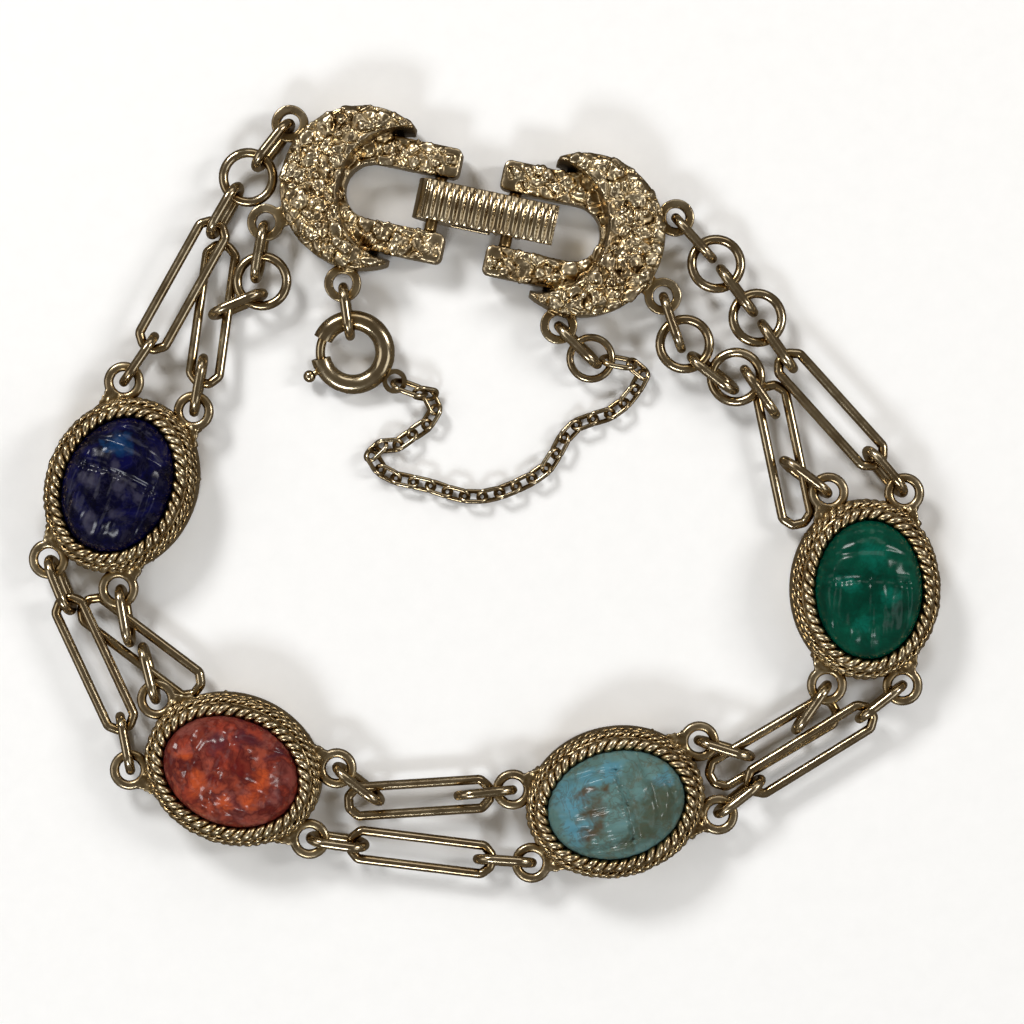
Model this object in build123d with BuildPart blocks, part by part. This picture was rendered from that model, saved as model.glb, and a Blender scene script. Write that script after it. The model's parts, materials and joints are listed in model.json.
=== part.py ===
from build123d import *
import os
from math import asin, atan2, ceil, copysign, cos, degrees, hypot, radians, sin, sqrt

# Scarab bracelet, laid closed on a flat surface. Millimetres.
# +X runs from the blue stone to the green one, +Y towards the clasp, +Z up from the surface.

# Stones
STONE_LENGTH = 10.3
STONE_WIDTH = 8.0
SEAT_HEIGHT = 1.0
GIRDLE_HEIGHT = 2.4
STONE_TOP = 5.7
CARVED_WIDTH = 0.3
CARVED_DEPTH = 0.22
HEAD_LINE = 3.0
THORAX_LINE = 1.0

# Settings
STONE_CLEARANCE = 0.06
SETTING_WALL = 0.75
WALL_HEIGHT = 3.7
WALL_FLARE = 0.6
ROPE_DIAMETER = 0.6
ROPE_TURNS = 36
ROPE_SLANT = 45
LUG_SPACING_LONG = 14.0
LUG_SPACING_WIDE = 5.5
LUG_OUTER = 3.0
LUG_HOLE = 1.5
LUG_THICKNESS = 0.6
LUG_HEIGHT = 1.86
LUG_WEB = 1.7
CHAIN_HEIGHT = 1.52

# Links
WIRE = 0.7
OVAL_LENGTH = 4.7
OVAL_WIDTH = 3.0
RING_DIAMETER = 4.3
LONG_LENGTH = 11.0
LONG_WIDTH = 2.8
LONG_CORNER = 0.62
LONG_CORNER_RADIUS = 0.45
LINK_GAP = 0.12
LINK_SLACK = 0.14

# Clasp
CLASP_HEADING = -12.0
PIN_SPACING = 5.56
PIN_DIAMETER = 0.9
PIN_CLEARANCE = 0.05
HOOK_CLEARANCE = 0.12
HOOK_WALL = 0.42
HOOK_DROP = 0.25
BARREL_DIAMETER = 3.0
BAR_WIDTH = 2.9
BAR_SHIFT = 0.2
BAR_BACK = 0.85
BAR_REACH = 8.9
BAR_STRIP = 0.75
TONGUE_STRIP = 0.55
TONGUE_CLEARANCE = 0.3
RIB_DIAMETER = 0.6
RIB_PITCH = 0.74
RIB_RISE = 0.22
RIB_LAND = 0.65
CRESCENT_RADIUS = 5.9
CRESCENT_HEIGHT = 3.1
CRESCENT_REACH = 5.4
CRESCENT_HOLLOW_RADIUS = 4.6
CRESCENT_HOLLOW_OFFSET = 3.3
CRESCENT_HOLLOW_DRAFT = 0.45
CRESCENT_HORN = 2.9
CRESCENT_EDGE = 0.4
ARM_HEIGHT = 1.7
ARM_INNER = 2.05
ARM_WIDTH = 2.2
ARM_BEYOND_PIN = 1.25
ARM_CORNER = 0.5
NUGGET_ACROSS = 0.78
NUGGET_SPACING = 0.95
NUGGET_RISE = 0.24
NUGGET_TAPER = 28
NUGGET_TURN = 37
CLASP_LUG_OUTER = 2.7
CLASP_LUG_HOLE = 1.45
CLASP_LUG_THICKNESS = 0.65

# Safety chain
TUBE_DIAMETER = 1.43
TUBE_BORE = 0.9
SPRING_RING_DIAMETER = 6.15
SPRING_RING_OPENING = 36
SPRING_RING_GATE = 173
TONGUE_DIAMETER = 0.7
TONGUE_ENTRY = 4
TONGUE_ARC = 84
TRIGGER_TRAVEL = 45
KNOB_ANGLE = 209
KNOB_DIAMETER = 0.9
KNOB_NECK = 0.42
KNOB_STAND_OFF = 0.1
EYE_ANGLE = 325
EYE_OUTER = 1.8
EYE_HOLE = 1.1
EYE_THICKNESS = 0.32
SAFETY_LINK_LENGTH = 4.3
SAFETY_LINK_WIDTH = 3.0
SAFETY_LINK_HEADING = -82
END_WIRE = 0.4
END_LINK_LENGTH = 2.9
END_LINK_WIDTH = 2.1
END_LINK_ROLL = 65
END_LINK_HEIGHT = 0.98
END_PLAY = 0.24
END_RING_WIRE = 0.55
END_RING_DIAMETER = 3.6
END_RING_HEIGHT = 1.15
CURB_WIRE = 0.33
CURB_LENGTH = 2.2
CURB_WIDTH = 1.4
CURB_PITCH = 1.31
CURB_ROLL = 45
CURB_HEIGHT = 0.55
CURB_DESCENT = 3.5
FIRST_LINK_HEADING = -20
LAST_LINK_HEADING = -10
LAST_OVAL_HEADING = -45
LAST_OVAL_ROLL = 82

# Where each setting lies: centre and the heading of its long axis, in degrees from +X
SETTINGS = {
    "blue": (-26.75, 0.65, 67.5),
    "coral": (-18.6, -20.0, -20.5),
    "aqua": (9.2, -22.4, 15),
    "green": (27.4, -6.9, 90),
}

# What brings the middle of the whole bracelet onto the origin
MIDDLE = (0.33, 0.01, 0)

# The left cross pin's middle
CLASP_X = -3.9
CLASP_Y = 21.1

# Lugs of the crescents: angle round the disc, and how far the hole lies beyond its edge as a share of the lug
CLASP_LUGS = {
    "left": [(30, 0.45), (-31, 0.58), (-90, 0.42)],
    "right": [(23, 0.37), (-25, 0.52), (-93, 0.32)],
}

# The safety chain's route across the surface, as chosen points from the spring ring to the other end
SAFETY_ROUTE = [
    (-5.07, 7.8),
    (-3.97, 6.56),
    (-5.66, 4.35),
    (-7.28, 3.47),
    (-8.6, 3.47),
    (-8.31, 2.22),
    (-6.62, 1.12),
    (-4.49, 0.68),
    (-2.28, -0.05),
    (-0.16, -0.13),
    (2.19, 0.68),
    (4.47, 2.22),
    (5.28, 3.77),
    (6.53, 5.16),
    (8.51, 5.75),
    (10.71, 7.66),
    (11.3, 9.2),
]

# Strands that hang between two lugs, with a row for each link from a lug inwards: its kind, its heading in
# degrees, its roll from flat, and how far it slides back along the link before it, in wires. A long link
# joins the two rows. Its roll comes last, with its lift above the chain's height, in wires.
STRANDS = {
    "blue_coral_outer": (("blue", 3), [("oval", -68, 82, 0)], ("coral", 4), [("oval", 101, 82, 0)], -4, 0.4),
    "coral_aqua_upper": (("coral", 1), [("oval", -38, 84, 0)], ("aqua", 3), [("oval", 186, 84, 0)], 0, -0.5),
    "coral_aqua_lower": (("coral", 2), [("oval", -8, 82, 0)], ("aqua", 4), [("oval", 176, 80, 0)], -4, 0),
    "aqua_green_inner": (("aqua", 1), [("oval", -17, 88, 0)], ("green", 3), [("oval", -125, 88, 0)], 0, -0.5),
    "aqua_green_outer": (("aqua", 2), [("oval", 38, 86, 0)], ("green", 4), [("oval", 218, 86, 0)], -14, 0.36),
    "left_outer": (
        ("left", 1),
        [("oval", -128, 82, 0), ("ring", -128, 3, 0), ("oval", -120, 82, 0)],
        ("blue", 1),
        [("oval", 56, 82, 0)],
        3,
        0.36,
    ),
    "right_outer": (
        ("right", 1),
        [
            ("oval", -48, 84, 0),
            ("ring", -51, 6, 0.7),
            ("oval", -53, 80, 0.7),
            ("ring", -54, 8, 0.7),
            ("oval", -55, 80, 0.6),
        ],
        ("green", 2),
        [("oval", 130, 82, 0)],
        4,
        0.42,
    ),
}

# Strands that lie slack, with a chosen place for each link: its kind, its middle, its heading, rise and roll
SLACK_STRANDS = {
    "blue_coral_inner": [
        ("oval", (-26.5, -8.87, CHAIN_HEIGHT), -80, 0, 88),
        ("long", (-25.39, -11.12, 1.14), -37, 0, 0),
        ("oval", (-24.75, -13.05, CHAIN_HEIGHT), 104, 0, 88),
    ],
    "left_inner": [
        ("oval", (-16.67, 17.66, CHAIN_HEIGHT), -100, 0, 88),
        ("ring", (-16.54, 15.53, 1.5), 0, 0, 0),
        ("oval", (-18.28, 13.84, CHAIN_HEIGHT), 203, 0, 86),
        ("long", (-20.15, 13.14, 1.16), -97, 7.5, 0),
        ("oval", (-21.15, 7.94, CHAIN_HEIGHT), 80, 0, 86),
    ],
    "right_inner": [
        ("oval", (13.37, 12.51, CHAIN_HEIGHT), -71, 0, 85),
        ("ring", (14.27, 10.94, 1.5), 0, 0, 0),
        ("oval", (16.33, 8.83, CHAIN_HEIGHT), -38, 0, 76),
        ("ring", (17.99, 8.53, 1.7), 0, 12, 0),
        ("oval", (19.74, 7.44, 1.68), -55, -5, 86),
        ("long", (21.53, 2.86, 1.2), -78, -1.3, 0),
        ("oval", (23.08, 1.24, CHAIN_HEIGHT), 143, 0, 86),
    ],
}

UP = Vector(0, 0, 1)
PIN_HEIGHT = BARREL_DIAMETER / 2
LINK_SIZES = {"oval": OVAL_LENGTH, "ring": RING_DIAMETER, "long": LONG_LENGTH}
os.makedirs("parts", exist_ok=True)


def along(heading, rise=0.0):
    """Unit vector in a heading, in degrees from +X, rising by another angle."""
    level = cos(radians(rise))
    return Vector(cos(radians(heading)) * level, sin(radians(heading)) * level, sin(radians(rise)))


def link_plane(centre, direction, roll):
    """Plane of a link: its long way runs along direction, rolled about it from flat."""
    centre = Vector(centre)
    side = UP.cross(direction).normalized()
    upright = direction.cross(side)
    normal = upright * cos(radians(roll)) + side * sin(radians(roll))
    return Plane(origin=centre, x_dir=direction, z_dir=normal)


def wire_along(path, wire):
    """Round wire swept along the closed path of the current part."""
    loop = path.wires()[0]
    with BuildSketch(Plane(origin=loop @ 0, z_dir=loop % 0)) as section:
        Circle(wire / 2)
    sweep(section.sketch, path=loop)


def oval_link(plane, length, width, wire):
    """Link of two straight sides and two round ends."""
    bend = (width - wire) / 2
    straight = (length - width) / 2
    with BuildLine(plane) as path:
        near_end = CenterArc((straight, 0), bend, -90, 180)
        Line(near_end @ 1, (-straight, bend))
        far_end = CenterArc((-straight, 0), bend, 90, 180)
        Line(far_end @ 1, near_end @ 0)
    wire_along(path, wire)


def round_link(plane, diameter, wire):
    """Plain round jump ring."""
    with BuildLine(plane) as path:
        CenterArc((0, 0), (diameter - wire) / 2, 0, 360)
    wire_along(path, wire)


def long_link(plane, length, width, wire):
    """Long link whose ends are drawn in like half a hexagon."""
    end = (length - wire) / 2
    side = (width - wire) / 2
    corner = LONG_CORNER
    corners = [
        (end, -side + corner),
        (end, side - corner),
        (end - corner, side),
        (corner - end, side),
        (-end, side - corner),
        (-end, corner - side),
        (corner - end, -side),
        (end - corner, -side),
    ]
    with BuildLine(plane) as path:
        FilletPolyline(*corners, radius=LONG_CORNER_RADIUS, close=True)
    wire_along(path, wire)


def add_link(kind, plane):
    """One link of the current part, by its kind."""
    if kind == "oval":
        oval_link(plane, OVAL_LENGTH, OVAL_WIDTH, WIRE)
    elif kind == "ring":
        round_link(plane, RING_DIAMETER, WIRE)
    else:
        long_link(plane, LONG_LENGTH, LONG_WIDTH, WIRE)


def write_part(name, part):
    """Writes a piece as a node of its own, with the whole bracelet's middle on the origin."""
    placed = part.moved(Location(MIDDLE))
    placed.label = name
    export_step(placed, "parts/" + name + ".step")


# Stone
def build_stone():
    """Oval cabochon, cut with a scarab's wing, thorax and head lines; the head points along X."""
    half_length = STONE_LENGTH / 2
    half_width = STONE_WIDTH / 2
    dome = STONE_TOP - GIRDLE_HEIGHT
    centre = (0, GIRDLE_HEIGHT)
    with BuildPart() as stone:
        with BuildSketch(Plane.XZ):
            with BuildLine():
                base = Line((0, SEAT_HEIGHT), (half_width, SEAT_HEIGHT))
                Line(base @ 1, (half_width, GIRDLE_HEIGHT))
                crown = EllipticalCenterArc(centre, half_width, dome, start_angle=0, arc_size=90)
                Line(crown @ 1, base @ 0)
            make_face()
        revolve(axis=Axis.Z)
        scale(by=(STONE_LENGTH / STONE_WIDTH, 1, 1))
        wing_length = half_length + THORAX_LINE
        with BuildSketch(Plane.XZ):
            with Locations((THORAX_LINE - wing_length / 2, GIRDLE_HEIGHT + dome / 2)):
                Rectangle(wing_length, dome)
            with Locations(centre):
                Ellipse(half_length - CARVED_DEPTH, dome - CARVED_DEPTH, mode=Mode.SUBTRACT)
        extrude(amount=CARVED_WIDTH / 2, both=True, mode=Mode.SUBTRACT)
        for station in (HEAD_LINE, THORAX_LINE):
            share = sqrt(1 - (station / half_length) ** 2)
            with BuildSketch(Plane.YZ.offset(station)):
                with Locations((0, GIRDLE_HEIGHT + dome / 2)):
                    Rectangle(STONE_WIDTH, dome)
                with Locations(centre):
                    kept_width = half_width * share - CARVED_DEPTH
                    kept_dome = dome * share - CARVED_DEPTH
                    Ellipse(kept_width, kept_dome, mode=Mode.SUBTRACT)
            extrude(amount=CARVED_WIDTH / 2, both=True, mode=Mode.SUBTRACT)
    return stone.part


# Setting
def lug_places():
    """Lug holes of a setting in its own frame: two at one end, then two at the other."""
    long_way = LUG_SPACING_LONG / 2
    wide_way = LUG_SPACING_WIDE / 2
    return [(long_way, wide_way), (long_way, -wide_way), (-long_way, wide_way), (-long_way, -wide_way)]


def build_setting():
    """Cast oval cup with a twisted rope rim and four lugs, its long way along X."""
    pocket_length = STONE_LENGTH + 2 * STONE_CLEARANCE
    pocket_width = STONE_WIDTH + 2 * STONE_CLEARANCE
    rim_length = pocket_length + 2 * SETTING_WALL
    rim_width = pocket_width + 2 * SETTING_WALL
    lug_plane = Plane.XY.offset(LUG_HEIGHT - LUG_THICKNESS / 2)
    rope_line = Edge.make_ellipse((rim_length - SETTING_WALL) / 2, (rim_width - SETTING_WALL) / 2)
    rope_height = UP * (WALL_HEIGHT + ROPE_DIAMETER / 6)
    with BuildPart() as setting:
        with BuildSketch():
            Ellipse(rim_length / 2 + WALL_FLARE, rim_width / 2 + WALL_FLARE)
        with BuildSketch(Plane.XY.offset(WALL_HEIGHT)):
            Ellipse(rim_length / 2, rim_width / 2)
        loft(ruled=True)
        with BuildSketch(lug_plane):
            for long_way, wide_way in lug_places():
                with Locations((long_way, wide_way)):
                    Circle(LUG_OUTER / 2)
                with Locations((long_way - copysign(LUG_OUTER / 2, long_way), wide_way)):
                    Rectangle(LUG_OUTER, LUG_WEB)
        extrude(amount=LUG_THICKNESS)
        with BuildSketch(lug_plane):
            with Locations(*lug_places()):
                Circle(LUG_HOLE / 2)
        extrude(amount=LUG_THICKNESS, mode=Mode.SUBTRACT)
        with BuildSketch(Plane.XY.offset(SEAT_HEIGHT)):
            Ellipse(pocket_length / 2, pocket_width / 2)
        extrude(amount=WALL_HEIGHT, mode=Mode.SUBTRACT)
        for turn in range(ROPE_TURNS):
            tangent = rope_line % (turn / ROPE_TURNS)
            heading = degrees(atan2(tangent.Y, tangent.X)) + ROPE_SLANT
            strand_middle = rope_line @ (turn / ROPE_TURNS) + rope_height
            with BuildSketch(Plane(origin=strand_middle, z_dir=along(heading))):
                Circle(ROPE_DIAMETER / 2)
            extrude(amount=SETTING_WALL / 2, both=True)
    return setting.part


# Clasp
def clasp_point(way_along, height):
    """Point on the clasp's middle line, measured from the left cross pin."""
    return Vector(CLASP_X, CLASP_Y) + along(CLASP_HEADING) * way_along + UP * height


def crescent_plane(side):
    """Frame of a crescent at its cross pin: X runs out along the clasp, dipping to the surface."""
    dip = asin((PIN_HEIGHT - ARM_HEIGHT / 2) / (CRESCENT_REACH + CRESCENT_RADIUS))
    if side == "left":
        outward = along(CLASP_HEADING + 180, -degrees(dip))
        origin = clasp_point(0, PIN_HEIGHT)
    else:
        outward = along(CLASP_HEADING, -degrees(dip))
        origin = clasp_point(PIN_SPACING, PIN_HEIGHT)
    across = UP.cross(outward)
    return Plane(origin=origin, x_dir=outward, z_dir=outward.cross(across))


def crescent_lugs(side):
    """Lug holes of a crescent in its own frame: upper, lower, and the safety chain's, with heights."""
    plane = crescent_plane(side)
    mirror = -1 if side == "left" else 1
    places = []
    for angle, beyond in CLASP_LUGS[side]:
        radius = CRESCENT_RADIUS + CLASP_LUG_OUTER * beyond
        x = CRESCENT_REACH + radius * cos(radians(angle))
        y = radius * sin(radians(angle)) * mirror
        surface = plane.from_local_coords(Vector(x, y, 0))
        places.append((x, y, (CHAIN_HEIGHT - surface.Z) / plane.z_dir.Z))
    return places


def nugget_places():
    """Places of the raised nuggets in a crescent's frame: on the moon, then on the arms."""
    moon = []
    arms = []
    half = NUGGET_ACROSS / 2
    hollow_x = CRESCENT_REACH - CRESCENT_HOLLOW_OFFSET
    hollow_top = CRESCENT_HOLLOW_RADIUS + CRESCENT_HOLLOW_DRAFT
    steps = int(2 * (CRESCENT_REACH + CRESCENT_RADIUS) / NUGGET_SPACING)
    for row in range(steps):
        for column in range(steps):
            x = row * sqrt(0.75) * NUGGET_SPACING - ARM_BEYOND_PIN
            y = (column - steps // 2 + (row % 2) / 2) * NUGGET_SPACING
            from_moon = hypot(x - CRESCENT_REACH, y)
            from_hollow = hypot(x - hollow_x, y)
            on_moon = from_moon < CRESCENT_RADIUS - CRESCENT_EDGE - half and from_hollow > hollow_top + half
            if on_moon and x > CRESCENT_REACH - CRESCENT_HORN + CRESCENT_EDGE + half:
                moon.append((x, y))
            on_arm = ARM_INNER + half < abs(y) < ARM_INNER + ARM_WIDTH - half
            if on_arm and from_hollow < CRESCENT_HOLLOW_RADIUS - half and x > half - ARM_BEYOND_PIN:
                arms.append((x, y))
    return moon, arms


def raise_nuggets(plane, places):
    """Low six-sided lumps of the cast bark texture."""
    with BuildSketch(plane) as lumps:
        for number, place in enumerate(places):
            with Locations(place):
                RegularPolygon(NUGGET_ACROSS / 2, 6, rotation=number * NUGGET_TURN)
    extrude(lumps.sketch, amount=NUGGET_RISE, taper=NUGGET_TAPER)


def moon_outline():
    """Disc of a crescent, cut straight across behind its horns."""
    with Locations((CRESCENT_REACH, 0)):
        Circle(CRESCENT_RADIUS)
    with Locations((CRESCENT_REACH - CRESCENT_HORN - CRESCENT_RADIUS, 0)):
        Rectangle(2 * CRESCENT_RADIUS, 2 * CRESCENT_RADIUS, mode=Mode.SUBTRACT)


def build_crescent(side):
    """Crescent casting with its two arms, cross pin and three lugs."""
    plane = crescent_plane(side)
    base = -ARM_HEIGHT / 2
    hollow_x = CRESCENT_REACH - CRESCENT_HOLLOW_OFFSET
    opening_x = hollow_x + CRESCENT_HOLLOW_RADIUS - ARM_INNER
    frame_end = opening_x + 1.5 * ARM_INNER
    moon_nuggets, arm_nuggets = nugget_places()
    with BuildPart() as crescent:
        with BuildSketch(plane.offset(base)):
            moon_outline()
        extrude(amount=CRESCENT_HEIGHT - CRESCENT_EDGE)
        with BuildSketch(plane.offset(base + CRESCENT_HEIGHT - CRESCENT_EDGE)):
            moon_outline()
        extrude(amount=CRESCENT_EDGE, taper=45)
        with BuildSketch(plane.offset(base)):
            with Locations((hollow_x, 0)):
                Circle(CRESCENT_HOLLOW_RADIUS)
        with BuildSketch(plane.offset(base + CRESCENT_HEIGHT)):
            with Locations((hollow_x, 0)):
                Circle(CRESCENT_HOLLOW_RADIUS + CRESCENT_HOLLOW_DRAFT)
        loft(mode=Mode.SUBTRACT)
        with BuildSketch(plane.offset(base)) as frame:
            with Locations(((frame_end - ARM_BEYOND_PIN) / 2, 0)):
                Rectangle(frame_end + ARM_BEYOND_PIN, 2 * (ARM_INNER + ARM_WIDTH))
            with Locations((0, 0)):
                Rectangle(2 * opening_x, 2 * ARM_INNER, mode=Mode.SUBTRACT)
            with Locations((opening_x, 0)):
                Circle(ARM_INNER, mode=Mode.SUBTRACT)
            fillet(frame.vertices().group_by(Axis.X)[0], radius=ARM_CORNER)
        extrude(amount=ARM_HEIGHT)
        with BuildSketch(Plane(origin=plane.origin, z_dir=plane.y_dir)):
            Circle(PIN_DIAMETER / 2)
        extrude(amount=ARM_INNER + ARM_WIDTH / 2, both=True)
        for x, y, height in crescent_lugs(side):
            inward = Vector(CRESCENT_REACH - x, -y).normalized() * CLASP_LUG_OUTER / 2
            web_turn = degrees(atan2(y, x - CRESCENT_REACH))
            web = Location((x + inward.X, y + inward.Y, 0), (0, 0, web_turn))
            with BuildSketch(plane.offset(height - CLASP_LUG_THICKNESS / 2)):
                with Locations((x, y)):
                    Circle(CLASP_LUG_OUTER / 2)
                with Locations(web):
                    Rectangle(CLASP_LUG_OUTER, CLASP_LUG_HOLE)
            extrude(amount=CLASP_LUG_THICKNESS)
            with BuildSketch(plane.offset(height - CLASP_LUG_THICKNESS / 2)):
                with Locations((x, y)):
                    Circle(CLASP_LUG_HOLE / 2)
            extrude(amount=CLASP_LUG_THICKNESS, mode=Mode.SUBTRACT)
        raise_nuggets(plane.offset(base + CRESCENT_HEIGHT), moon_nuggets)
        raise_nuggets(plane.offset(base + ARM_HEIGHT), arm_nuggets)
    return crescent.part


def build_bar():
    """Fold-over lever: a ribbed strip folded round the left pin, with a hook over the right one."""
    top = BARREL_DIAMETER / 2
    across = UP.cross(along(CLASP_HEADING))
    origin = clasp_point(0, PIN_HEIGHT) + across * BAR_SHIFT
    hook_width = PIN_DIAMETER + 2 * (HOOK_CLEARANCE + HOOK_WALL)
    tongue_end = PIN_SPACING - hook_width / 2 - TONGUE_CLEARANCE
    rib_count = int((BAR_REACH + BAR_BACK - RIB_LAND) / RIB_PITCH)
    with BuildPart() as bar:
        with BuildSketch(Plane(origin=origin, x_dir=along(CLASP_HEADING), z_dir=-across)):
            Circle(BARREL_DIAMETER / 2)
            with Locations(((BAR_REACH - BAR_BACK) / 2, top - BAR_STRIP / 2)):
                Rectangle(BAR_REACH + BAR_BACK, BAR_STRIP)
            with Locations((tongue_end / 2, TONGUE_STRIP / 2 - top)):
                Rectangle(tongue_end, TONGUE_STRIP)
            with Locations((PIN_SPACING, (top - HOOK_DROP) / 2)):
                Rectangle(hook_width, top + HOOK_DROP)
            for rib in range(rib_count):
                with Locations(((rib + 0.5) * RIB_PITCH - BAR_BACK, top + RIB_RISE - RIB_DIAMETER / 2)):
                    Circle(RIB_DIAMETER / 2)
            Circle(PIN_DIAMETER / 2 + PIN_CLEARANCE, mode=Mode.SUBTRACT)
            with Locations((PIN_SPACING, 0)):
                Circle(PIN_DIAMETER / 2 + HOOK_CLEARANCE, mode=Mode.SUBTRACT)
            with Locations((PIN_SPACING, -HOOK_DROP)):
                Rectangle(PIN_DIAMETER + 2 * HOOK_CLEARANCE, 2 * HOOK_DROP, mode=Mode.SUBTRACT)
        extrude(amount=BAR_WIDTH / 2, both=True)
    return bar.part


# Links
def lug_point(owner, number):
    """Middle of a lug hole, on a setting or on a crescent."""
    if owner in SETTINGS:
        x, y, heading = SETTINGS[owner]
        long_way, wide_way = lug_places()[number - 1]
        across = along(heading + 90)
        return Vector(x, y) + along(heading) * long_way + across * wide_way + UP * CHAIN_HEIGHT
    x, y, height = crescent_lugs(owner)[number - 1]
    return crescent_plane(owner).from_local_coords(Vector(x, y, height))


def hang_links(lug, rows):
    """Links hung one from the other, starting in a lug hole, and where the last one ends."""
    placed = []
    end = lug + along(rows[0][1]) * (WIRE + LINK_SLACK)
    way = Vector(0, 0, 0)
    for kind, heading, roll, slide in rows:
        end -= way * WIRE * slide
        way = along(heading)
        start = end - way * (WIRE + LINK_SLACK)
        end = start + way * (LINK_SIZES[kind] - WIRE)
        placed.append((kind, link_plane((start + end) * 0.5, way, roll)))
    return placed, end


def hanging_strand(name):
    """Kinds and planes of a hanging strand's links, from its first lug to its last."""
    first_lug, first_rows, last_lug, last_rows, long_roll, lift = STRANDS[name]
    before, start = hang_links(lug_point(*first_lug), first_rows)
    after, finish = hang_links(lug_point(*last_lug), last_rows)
    middle = (start + finish) * 0.5 + UP * WIRE * lift
    long_way = link_plane(middle, (finish - start).normalized(), long_roll)
    return before + [("long", long_way)] + after[::-1]


def slack_strand(name):
    """Kinds and planes of a slack strand's links, from its first lug to its last."""
    placed = []
    for kind, middle, heading, rise, roll in SLACK_STRANDS[name]:
        placed.append((kind, link_plane(middle, along(heading, rise), roll)))
    return placed


def build_links(placed):
    """One node of one or more separate links."""
    with BuildPart() as links:
        for kind, plane in placed:
            add_link(kind, plane)
    return links.part


# Safety chain
def spring_ring_plane():
    """Frame of the spring ring, lifted on one side by the link that holds it."""
    radius = (SPRING_RING_DIAMETER - TUBE_DIAMETER) / 2
    rise = asin((WIRE + LINK_GAP) / (2 * radius))
    toward = along(SAFETY_LINK_HEADING)
    lug = lug_point("left", 3)
    hold = SAFETY_LINK_LENGTH - WIRE + (CLASP_LUG_HOLE - WIRE) / 2 - LINK_GAP
    centre = lug + toward * (hold + radius - TUBE_DIAMETER / 2 - WIRE / 2 - LINK_GAP)
    height = TUBE_DIAMETER / 2 + radius * sin(rise)
    normal = along(SAFETY_LINK_HEADING, 90 - degrees(rise))
    return Plane(origin=(centre.X, centre.Y, height), x_dir=(1, 0, 0), z_dir=normal)


def turned(plane, angle):
    """The plane's upright section at an angle round it: X runs outwards, Y along its axis."""
    outward = plane.x_dir * cos(radians(angle)) + plane.y_dir * sin(radians(angle))
    return Plane(origin=plane.origin, x_dir=outward, z_dir=outward.cross(plane.z_dir))


def eye_distance():
    """How far the eye's hole lies from the middle of the spring ring."""
    return SPRING_RING_DIAMETER / 2 + EYE_HOLE / 2 + KNOB_STAND_OFF


def build_spring_ring(plane):
    """Hollow ring with its gate opening, the knob's slot and the eye."""
    radius = (SPRING_RING_DIAMETER - TUBE_DIAMETER) / 2
    axis = Axis(plane.origin, plane.z_dir)
    tube_start = SPRING_RING_GATE + SPRING_RING_OPENING / 2
    neck_play = degrees((KNOB_NECK / 2 + KNOB_STAND_OFF) / (radius + TUBE_BORE / 2))
    eye = (eye_distance() * cos(radians(EYE_ANGLE)), eye_distance() * sin(radians(EYE_ANGLE)))
    with BuildPart() as ring:
        with BuildSketch(plane.offset(-EYE_THICKNESS / 2)):
            with Locations(eye):
                Circle(EYE_OUTER / 2)
        extrude(amount=EYE_THICKNESS)
        with BuildSketch(turned(plane, tube_start)):
            with Locations((radius, 0)):
                Circle(TUBE_DIAMETER / 2)
        revolve(axis=axis, revolution_arc=360 - SPRING_RING_OPENING)
        with BuildSketch(plane.offset(-EYE_THICKNESS / 2)):
            with Locations(eye):
                Circle(EYE_HOLE / 2)
        extrude(amount=EYE_THICKNESS, mode=Mode.SUBTRACT)
        with BuildSketch(turned(plane, tube_start)):
            with Locations((radius, 0)):
                Circle(TUBE_BORE / 2)
        revolve(axis=axis, revolution_arc=360 - SPRING_RING_OPENING, mode=Mode.SUBTRACT)
        with BuildSketch(turned(plane, KNOB_ANGLE - neck_play)):
            with Locations((radius + TUBE_DIAMETER / 2, 0)):
                Rectangle(TUBE_DIAMETER, KNOB_NECK + 2 * KNOB_STAND_OFF)
        revolve(axis=axis, revolution_arc=TRIGGER_TRAVEL + 2 * neck_play, mode=Mode.SUBTRACT)
    return ring.part


def build_trigger(plane):
    """Sprung tongue that closes the gate, with its thumb knob."""
    radius = (SPRING_RING_DIAMETER - TUBE_DIAMETER) / 2
    axis = Axis(plane.origin, plane.z_dir)
    tongue_start = SPRING_RING_GATE - SPRING_RING_OPENING / 2 - TONGUE_ENTRY
    knob = turned(plane, KNOB_ANGLE)
    knob_reach = SPRING_RING_DIAMETER / 2 + KNOB_STAND_OFF
    with BuildPart() as trigger:
        with BuildSketch(turned(plane, tongue_start)):
            with Locations((radius, 0)):
                Circle(TONGUE_DIAMETER / 2)
        revolve(axis=axis, revolution_arc=TONGUE_ARC)
        with BuildSketch(Plane(origin=plane.origin + knob.x_dir * radius, z_dir=knob.x_dir)):
            Circle(KNOB_NECK / 2)
        extrude(amount=knob_reach + KNOB_DIAMETER / 2 - radius)
        with Locations(Plane(origin=plane.origin + knob.x_dir * (knob_reach + KNOB_DIAMETER / 2)).location):
            Sphere(KNOB_DIAMETER / 2)
    return trigger.part


def curb_planes(start, finish):
    """Planes of the curb links, which come down from one end link to lie along the route to the other."""
    points = [(start.X, start.Y)] + SAFETY_ROUTE + [(finish.X, finish.Y)]
    route = Spline(*points, mode=Mode.PRIVATE)
    count = ceil(route.length / CURB_PITCH)
    joints = []
    for number in range(count + 1):
        share = number / count
        from_end = min(share, 1 - share) * route.length
        lift = (END_LINK_HEIGHT - CURB_HEIGHT) * max(0, 1 - from_end / CURB_DESCENT) ** 2
        joints.append(route @ share + UP * (CURB_HEIGHT + lift))
    planes = []
    for number, (near, far) in enumerate(zip(joints, joints[1:])):
        roll = CURB_ROLL if number % 2 else -CURB_ROLL
        planes.append(link_plane((near + far) * 0.5, (far - near).normalized(), roll))
    return planes


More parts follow.
